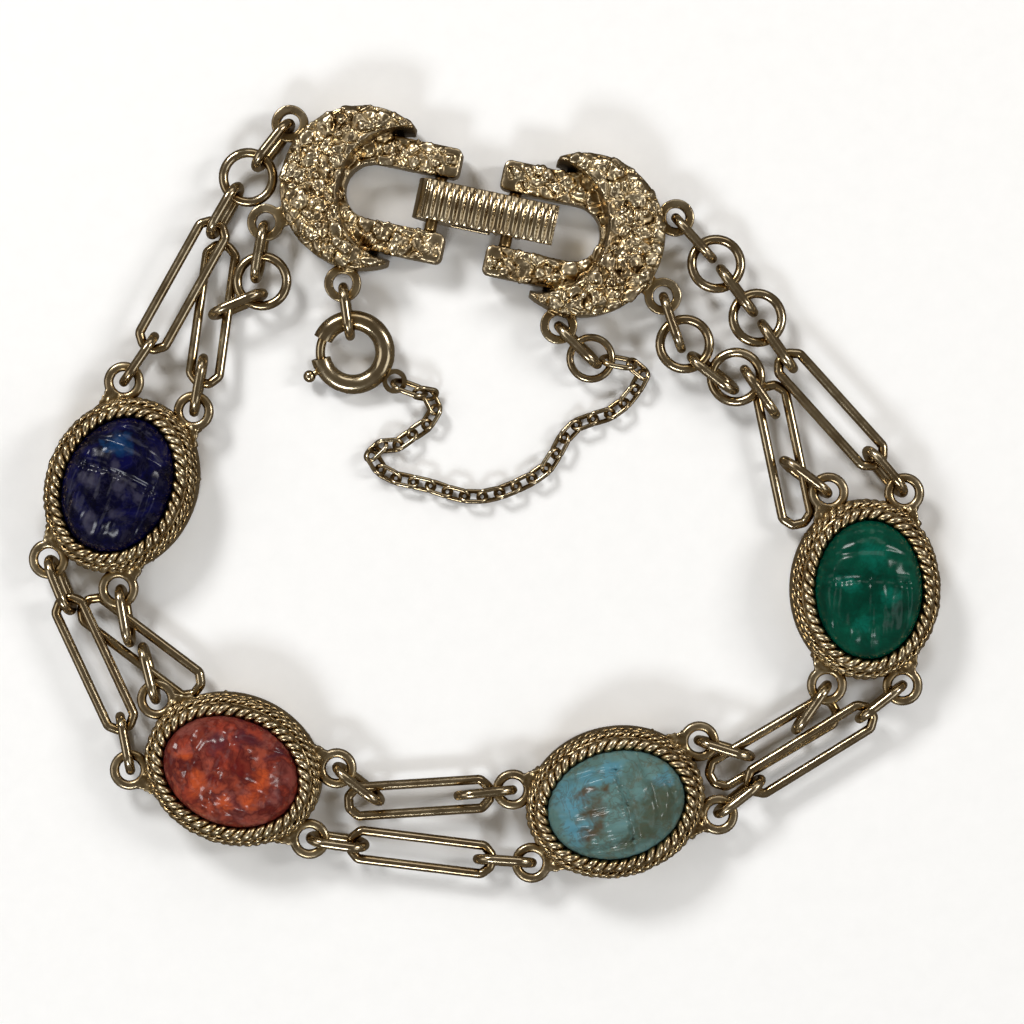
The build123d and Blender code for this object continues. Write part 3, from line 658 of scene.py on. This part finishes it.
def ring_faces(rings, around, closed_rings=False):
    """Quads of a grid of rings, each with the same number of points."""
    faces = []
    last = rings if closed_rings else rings - 1
    for ring in range(last):
        here = ring * around
        there = (ring + 1) % rings * around
        for step in range(around):
            after = (step + 1) % around
            faces.append((here + step, here + after, there + after, there + step))
    return faces


def tube(centres, radius):
    """Closed tube round a closed line of centres."""
    ahead = np.roll(centres, -1, axis=0) - np.roll(centres, 1, axis=0)
    ahead /= np.linalg.norm(ahead, axis=1)[:, None]
    up = np.array([0.0, 0.0, 1.0])
    first = np.cross(up, ahead)
    first /= np.linalg.norm(first, axis=1)[:, None]
    second = np.cross(ahead, first)
    points = []
    for centre, a, b in zip(centres, first, second):
        for side in range(TUBE_SIDES):
            angle = 2 * math.pi * side / TUBE_SIDES
            points.append(centre + radius * (a * math.cos(angle) + b * math.sin(angle)))
    return points, ring_faces(len(centres), TUBE_SIDES, closed_rings=True)


def joined(parts):
    """One list of points and faces from several."""
    points = []
    faces = []
    for part_points, part_faces in parts:
        start = len(points)
        points.extend(part_points)
        faces.extend([tuple(index + start for index in face) for face in part_faces])
    return points, faces


def rope(half_length, half_width, height, radius, turns):
    """Twisted rope laid round an ellipse: strands wound on a helix about its middle line."""
    steps = turns * ROPE_STEPS_PER_TURN
    points, outward = ellipse_frames(half_length, half_width, steps)
    helix = radius * ROPE_HELIX_SHARE
    parts = []
    for strand in range(ROPE_STRANDS):
        phase = 2 * math.pi * (turns * np.arange(steps) / steps + strand / ROPE_STRANDS)
        centres = points + outward * (helix * np.cos(phase))[:, None]
        centres[:, 2] += height + helix * np.sin(phase)
        shift = Vector((0, 0, strand * ROPE_STRAND_SHIFT))
        wander = [noise.noise_vector(Vector(centre) * ROPE_WANDER_PER_MM + shift) for centre in centres]
        parts.append(tube(centres + np.array(wander) * ROPE_WANDER, radius * ROPE_WIRE_SHARE))
    return joined(parts)


def lug_ring(x, y):
    """Flat ring with rounded edges round a lug's hole."""
    around = 40
    sides = 12
    middle = (LUG_OUTER_RADIUS + LUG_HOLE_RADIUS) / 2
    half_width = (LUG_OUTER_RADIUS - LUG_HOLE_RADIUS) / 2
    half_height = LUG_THICKNESS / 2
    points = []
    for step in range(around):
        angle = 2 * math.pi * step / around
        for side in range(sides):
            turn = 2 * math.pi * side / sides
            reach = middle + half_width * math.copysign(abs(math.cos(turn)) ** LUG_ROUNDNESS, math.cos(turn))
            lift = half_height * math.copysign(abs(math.sin(turn)) ** LUG_ROUNDNESS, math.sin(turn))
            points.append((x + reach * math.cos(angle), y + reach * math.sin(angle), LUG_MID_HEIGHT + lift))
    return points, ring_faces(around, sides, closed_rings=True)


def lug_web(x, y, way):
    """Web from a lug's ring to the wall, wider where it meets the wall."""
    low = LUG_MID_HEIGHT - LUG_THICKNESS / 2
    high = LUG_MID_HEIGHT + LUG_THICKNESS / 2
    side = math.copysign(1, y)
    ends = (
        (LUG_WEB_INNER, LUG_WEB_WIDE, LUG_WEB_OUTSIDE),
        (LUG_WEB_OUTER, LUG_WEB_NARROW, LUG_WEB_NARROW),
    )
    points = []
    for reach, inward, outward in ends:
        for across in sorted((-side * inward, side * outward)):
            for height in (low, high):
                points.append((x - way * reach, y + across, height))
    faces = [(0, 1, 3, 2), (4, 6, 7, 5), (0, 4, 5, 1), (2, 3, 7, 6), (0, 2, 6, 4), (1, 5, 7, 3)]
    return points, faces


def cup():
    """Closed shell of the setting's wall, floor and pocket."""
    around = 160
    outline, outward = ellipse_frames(RIM_HALF_LENGTH, RIM_HALF_WIDTH, around)
    inner, _ = ellipse_frames(POCKET_HALF_LENGTH, POCKET_HALF_WIDTH, around)
    rim = WALL_HEIGHT - RIM_DROP
    # The wall's profile from its foot up: offset from the rim, and height
    rows = [
        (WALL_FLARE, 0.0),
        (WALL_FLARE + 0.05, 0.35),
        (WALL_FLARE * 0.9, 0.9),
        (WALL_FLARE * 0.62, 1.9),
        (WALL_FLARE * 0.32, 2.9),
        (0.0, rim),
    ]
    points = []
    for offset, height in rows:
        points.extend(outline + outward * offset + np.array([0, 0, height]))
    for height in (rim, SEAT_HEIGHT):
        points.extend(inner + np.array([0, 0, height]))
    rings = len(rows) + 2
    faces = ring_faces(rings, around)
    faces.append(tuple(range(around - 1, -1, -1)))
    faces.append(tuple(range((rings - 1) * around, rings * around)))
    return points, faces


def cast_relief(points, normals):
    """The points, in millimetres, moved along their normals into the lumps and pits of cast metal."""
    moved = points.copy()
    for index, (point, normal) in enumerate(zip(points, normals)):
        distances, _ = noise.voronoi(Vector(point) * TEXTURE_PER_MM)
        lump = (distances[1] - distances[0]) - TEXTURE_LEVEL
        moved[index] += normal * TEXTURE_RISE * max(TEXTURE_DEEPEST, min(TEXTURE_TALLEST, lump))
    return moved


def build_setting(colour):
    """Setting with its textured wall and lugs as one cast skin, and four twisted ropes round it."""
    shells = [cup()]
    for way in (-1, 1):
        for y in (-LUG_ACROSS, LUG_ACROSS):
            shells.append(lug_ring(way * LUG_ALONG, y))
            shells.append(lug_web(way * LUG_ALONG, y, way))
    skin = remeshed(mesh_from("cast_" + colour, *joined(shells)), CAST_VOXEL)
    points, normals = mesh_arrays(skin)
    on_wall = (points[:, 2] > TEXTURE_LOW) & (points[:, 2] < TEXTURE_HIGH)
    reach = np.sqrt((points[:, 0] / POCKET_HALF_LENGTH) ** 2 + (points[:, 1] / POCKET_HALF_WIDTH) ** 2)
    on_wall &= (reach > TEXTURE_POCKET_SHARE) & (np.abs(points[:, 0]) < TEXTURE_REACH)
    points[on_wall] = cast_relief(points[on_wall], normals[on_wall])
    set_points(skin, points * MM)
    place = SETTING_PLACES[colour]
    skin.transform(place)
    cast = add_piece("cast_setting_" + colour, skin, GOLD_CAST)
    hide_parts("setting_" + colour)
    ropes = []
    for offset, height, radius, turns in ROPES:
        ropes.append(rope(RIM_HALF_LENGTH + offset, RIM_HALF_WIDTH + offset, height, radius, turns))
    points, faces = joined(ropes)
    mesh = mesh_from("rope_" + colour, np.array(points) * MM, faces)
    mesh.transform(place)
    add_piece("rope_rim_" + colour, mesh, GOLD_CAST)


def groove(distance, width, depth):
    """A cut line's depth, from the distance to its middle."""
    return -depth * np.exp(-((distance / width) ** 2))


def glass_lumps(u, v, seed, along, across, drift):
    """Unevenness of the glass over the stone's ellipse."""
    return np.array([noise.noise(Vector((a * along + seed, b * across, seed * drift))) for a, b in zip(u, v)])


def scarab_relief(u, v, seed, carved, lumpy):
    """Depth of the carving over the stone's ellipse, in millimetres: u towards the head, v across."""
    side = np.abs(v)
    wing_line = WING_LINE - WING_BEND * v**2
    wings = u < wing_line
    wing_side = WING_SIDE - WING_SIDE_BEND * (u - WING_SIDE_MIDDLE) ** 2
    relief = groove(u - wing_line, *WING_GROOVE)
    relief += groove(u - (THORAX_LINE - THORAX_BEND * v**2), *THORAX_GROOVE)
    relief += np.where(wings, groove(v, *SPINE_GROOVE), 0)
    relief += np.where(wings, groove(side - wing_side, *WING_SIDE_GROOVE), 0)
    relief += np.where(wings, WING_RIDGE_RISE * np.cos(side * WING_RIDGES), 0)
    relief += np.where(side > LEGS_FROM, LEG_RISE * np.cos(u * LEGS_ALONG + side * LEGS_ACROSS), 0)
    for place in (-EYE_ACROSS, EYE_ACROSS):
        relief += EYE_RISE * np.exp(-(((u - EYE_ALONG) / EYE_LENGTH) ** 2 + ((v - place) / EYE_WIDTH) ** 2))
    relief += groove(u - (SNOUT_LINE - SNOUT_BEND * v**2), *SNOUT_GROOVE)
    relief += np.where(u > SNOUT_LINE, SNOUT_RIDGE_RISE * np.cos(v * SNOUT_RIDGES), 0)
    lumps = glass_lumps(u, v, seed, *LUMPS)
    fine = glass_lumps(u, v, seed, *FINE_LUMPS)
    return relief * carved + (lumps * LUMP_RISE + fine * FINE_LUMP_RISE) * lumpy


def build_stone(colour, seed):
    """Cabochon carved as a scarab, from a dome over an ellipse."""
    angles = np.arange(STONE_AROUND) / STONE_AROUND * 2 * math.pi
    shares = np.sin(np.linspace(1, STONE_INNER_RING, STONE_RINGS) * math.pi / 2)
    u = np.concatenate([share * np.cos(angles) for share in shares])
    v = np.concatenate([share * np.sin(angles) for share in shares])
    reach = np.minimum(np.sqrt(u**2 + v**2), 1)
    height = GIRDLE_HEIGHT + DOME_HEIGHT * (1 - reach**DOME_POWER) ** (1 / DOME_POWER)
    fade = np.clip((1 - reach) / CARVING_FADE, 0, 1)
    highest = CROWN_RISE + OUTWARD_RISE * reach
    height += np.minimum(scarab_relief(u, v, seed, *STONE_RELIEF[colour]), highest) * fade
    top = np.stack([u * STONE_HALF_LENGTH, v * STONE_HALF_WIDTH, height], axis=1)
    foot = np.full(STONE_AROUND, SEAT_HEIGHT + STONE_LIFT)
    base = np.stack([np.cos(angles) * STONE_HALF_LENGTH, np.sin(angles) * STONE_HALF_WIDTH, foot], axis=1)
    faces = ring_faces(STONE_RINGS + 1, STONE_AROUND)
    faces.append(tuple(range(STONE_AROUND - 1, -1, -1)))
    faces.append(tuple(range(STONE_RINGS * STONE_AROUND, (STONE_RINGS + 1) * STONE_AROUND)))
    mesh = mesh_from("scarab_" + colour, np.concatenate([base, top]) * MM, faces)
    mesh.transform(SETTING_PLACES[colour])
    piece = add_piece("scarab_" + colour, mesh, STONES[colour])
    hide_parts("stone_" + colour)


def clasp_axes():
    """The clasp's hinge point in metres, its way along and its way across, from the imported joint."""
    joint = next(joint for joint in frame["joints"] if joint["name"] == "clasp_lever_hinge")
    up = Vector((0, 0, 1))
    way = up.cross(Vector(joint["axis"])).normalized()
    return Vector(joint["pos_m"]), way, up.cross(way)


def skin_of(node, voxel):
    """A CAD node's mesh as one even skin, in millimetres."""
    source = frame["nodes"][node].data.copy()
    source.transform(Matrix.Scale(1 / MM, 4))
    return remeshed(welded(source), voxel)


def build_bar():
    """The lever as an even skin of its CAD node, its top with finer ribs and crowned from side to side."""
    pin, way, side_way = clasp_axes()
    skin = skin_of("clasp_bar", BAR_VOXEL)
    points, normals = mesh_arrays(skin)
    from_pin = points - np.array(pin) / MM
    strip = points[:, 2].max() - RIB_RISE
    rib = (from_pin @ np.array(way) - RIB_FIRST) / RIB_PITCH
    ribbed = (rib > 0) & (rib < RIB_COUNT)
    ridge = strip + np.where(ribbed, RIB_RISE * np.sqrt(np.clip(1 - (2 * (rib % 1) - 1) ** 2, 0, 1)), 0)
    across = from_pin @ np.array(side_way)
    upper = points[:, 2] > strip - BAR_TOP_MARGIN
    facing = normals[:, 2] > BAR_TOP_UPWARD
    height = np.where(facing, ridge, np.minimum(points[:, 2], ridge))
    points[:, 2] = np.where(upper, height, points[:, 2])
    middle, half_width = extent(across)
    share = np.clip(np.abs(across - middle) / half_width, 0, 1)
    top = points[:, 2].max()
    lift = np.clip((points[:, 2] - (top - BAR_CROWN_DEPTH)) / BAR_CROWN_DEPTH, 0, 1)
    points[:, 2] -= BAR_CROWN * share**BAR_CROWN_POWER * lift
    set_points(skin, points * MM)
    piece = add_piece("ribbed_bar", skin, GOLD_WIRE, "clasp_lever")
    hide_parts("clasp_bar")


def smoothed(mesh):
    """The mesh with the unevenness of its upper face ironed out."""
    work = bmesh.new()
    work.from_mesh(mesh)
    upper = [vert for vert in work.verts if vert.normal.z > SMOOTHING_UPWARD and vert.co.z > SMOOTHING_FROM]
    axes = {"use_axis_x": True, "use_axis_y": True, "use_axis_z": True}
    for _ in range(SMOOTHING_ROUNDS):
        bmesh.ops.smooth_vert(work, verts=upper, factor=0.5, **axes)
    work.to_mesh(mesh)
    work.free()
    return mesh


def facet_height(point):
    """Height of a hammered cast surface, in millimetres: tilted facets with a notch between them."""
    place = point * FACETS_PER_MM + FACET_SHIFT
    distances, centres = noise.voronoi(place)
    tilt = (noise.cell_vector(centres[0] * FACET_SEED) - Vector((0.5, 0.5, 0.5))) * 2
    slope = (place - centres[0]).dot(tilt) * FACET_TILT
    notch = min(1.0, (distances[1] - distances[0]) / NOTCH_WIDTH) - NOTCH_LEVEL
    fine_distances, _ = noise.voronoi(place * FINE_PER_FACET)
    fine = (fine_distances[1] - fine_distances[0] - FINE_LEVEL) * FINE_RISE
    return max(FACET_LOW, min(FACET_HIGH, slope + notch * NOTCH_RISE + fine))


def build_crescent(side):
    """Crescent as an even skin of its CAD node, its upper face worked into cast nuggets."""
    skin = smoothed(skin_of("clasp_" + side, CRESCENT_VOXEL))
    points, normals = mesh_arrays(skin)
    pin, way, side_way = clasp_axes()
    own_pin = 0 if side == "left" else PIN_SPACING
    outward = -CRESCENT_REACH if side == "left" else CRESCENT_REACH
    middle = np.array(pin / MM + way * (own_pin + outward))
    from_middle = np.linalg.norm((points - middle)[:, :2], axis=1)
    from_pin = points - middle + np.array(way) * outward
    along = np.abs(from_pin @ np.array(way))
    across = np.abs(from_pin @ np.array(side_way))
    off_lugs = (from_middle < CRESCENT_RADIUS + DISC_MARGIN) | (points[:, 2] > LUGS_BELOW)
    off_pin = (across > ARM_INNER) | (along > PIN_REACH)
    strengths = np.minimum(1.0, (normals[:, 2] - UPWARD) / UPWARD_FADE)
    for index in np.nonzero((normals[:, 2] > UPWARD) & off_lugs & off_pin)[0]:
        points[index] += normals[index] * strengths[index] * facet_height(Vector(points[index]))
    set_points(skin, points * MM)
    piece = add_piece("crescent_" + side, skin, GOLD_CAST)
    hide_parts("clasp_" + side)


GOLD_WIRE = gold_material("gold_wire", 0.08, (0.12, 0.26))
GOLD_CAST = gold_material("gold_cast", 0.12, (0.21, 0.36))
SETTING_PLACES = {colour: setting_matrix(colour) for colour in COLOURS}
STONE_PLACES = {colour: place.translation for colour, place in SETTING_PLACES.items()}
STONES = {colour: stone_material(colour, look) for colour, look in STONE_LOOKS.items()}

for node in frame["nodes"].values():
    for material_slot in node.material_slots:
        material_slot.link = "OBJECT"
        material_slot.material = GOLD_WIRE

noise.seed_set(ROPE_WANDER_SEED)
for number, stone_colour in enumerate(COLOURS):
    build_setting(stone_colour)
    build_stone(stone_colour, FIRST_SEED + number * SEED_STEP)
build_bar()
for clasp_side in ("left", "right"):
    build_crescent(clasp_side)


# Floor
def build_floor():
    """Pale level surface under the bracelet."""
    ways = ((-1, -1), (1, -1), (1, 1), (-1, 1))
    mesh = mesh_from("floor", [(x * FLOOR_HALF, y * FLOOR_HALF, 0) for x, y in ways], [(0, 1, 2, 3)])
    floor = bpy.data.objects.new("floor", mesh)
    floor.location.z = -FLOOR_DROP * MM
    floor.visible_glossy = False
    material, tree, shader = node_material("pale_floor")
    place = tree.nodes.new("ShaderNodeTexCoord").outputs["Object"]
    grain = add_noise(tree, place, FLOOR_SCALE)
    tone = add_ramp(tree, grain.outputs["Fac"], FLOOR_TINTS)
    tree.links.new(tone, shader.inputs["Base Color"])
    shader.inputs["Roughness"].default_value = 0.75
    mesh.materials.append(material)
    bpy.context.scene.collection.objects.link(floor)


# Light
def add_light(name, place, size, power, colour):
    """Rectangular area light aimed at the origin."""
    data = bpy.data.lights.new(name, "AREA")
    data.shape = "RECTANGLE"
    data.size, data.size_y = size
    data.energy = power
    data.color = colour
    light = bpy.data.objects.new(name, data)
    light.location = place
    light.rotation_euler = (-Vector(place)).to_track_quat("-Z", "Y").to_euler()
    bpy.context.scene.collection.objects.link(light)


def build_light():
    """Dim warm room with a studio's lights."""
    world = bpy.data.worlds.new("studio")
    world.use_nodes = True
    world.node_tree.nodes["Background"].inputs["Color"].default_value = WORLD_COLOUR
    world.node_tree.nodes["Background"].inputs["Strength"].default_value = WORLD_STRENGTH
    bpy.context.scene.world = world
    for name, settings in LIGHTS.items():
        add_light(name, *settings)


# Camera
def build_camera():
    """The photo's camera."""
    data = bpy.data.cameras.new("camera")
    data.sensor_width = SENSOR
    data.lens = SENSOR * CAMERA_DISTANCE / VIEW_WIDTH
    data.clip_start = CLIP_START * MM
    camera = bpy.data.objects.new("camera", data)
    camera.location = (CAMERA_X * MM, CAMERA_Y * MM, CAMERA_DISTANCE * MM)
    bpy.context.scene.collection.objects.link(camera)
    bpy.context.scene.camera = camera


build_floor()
build_light()
build_camera()
bpy.context.scene.view_settings.view_transform = "Standard"
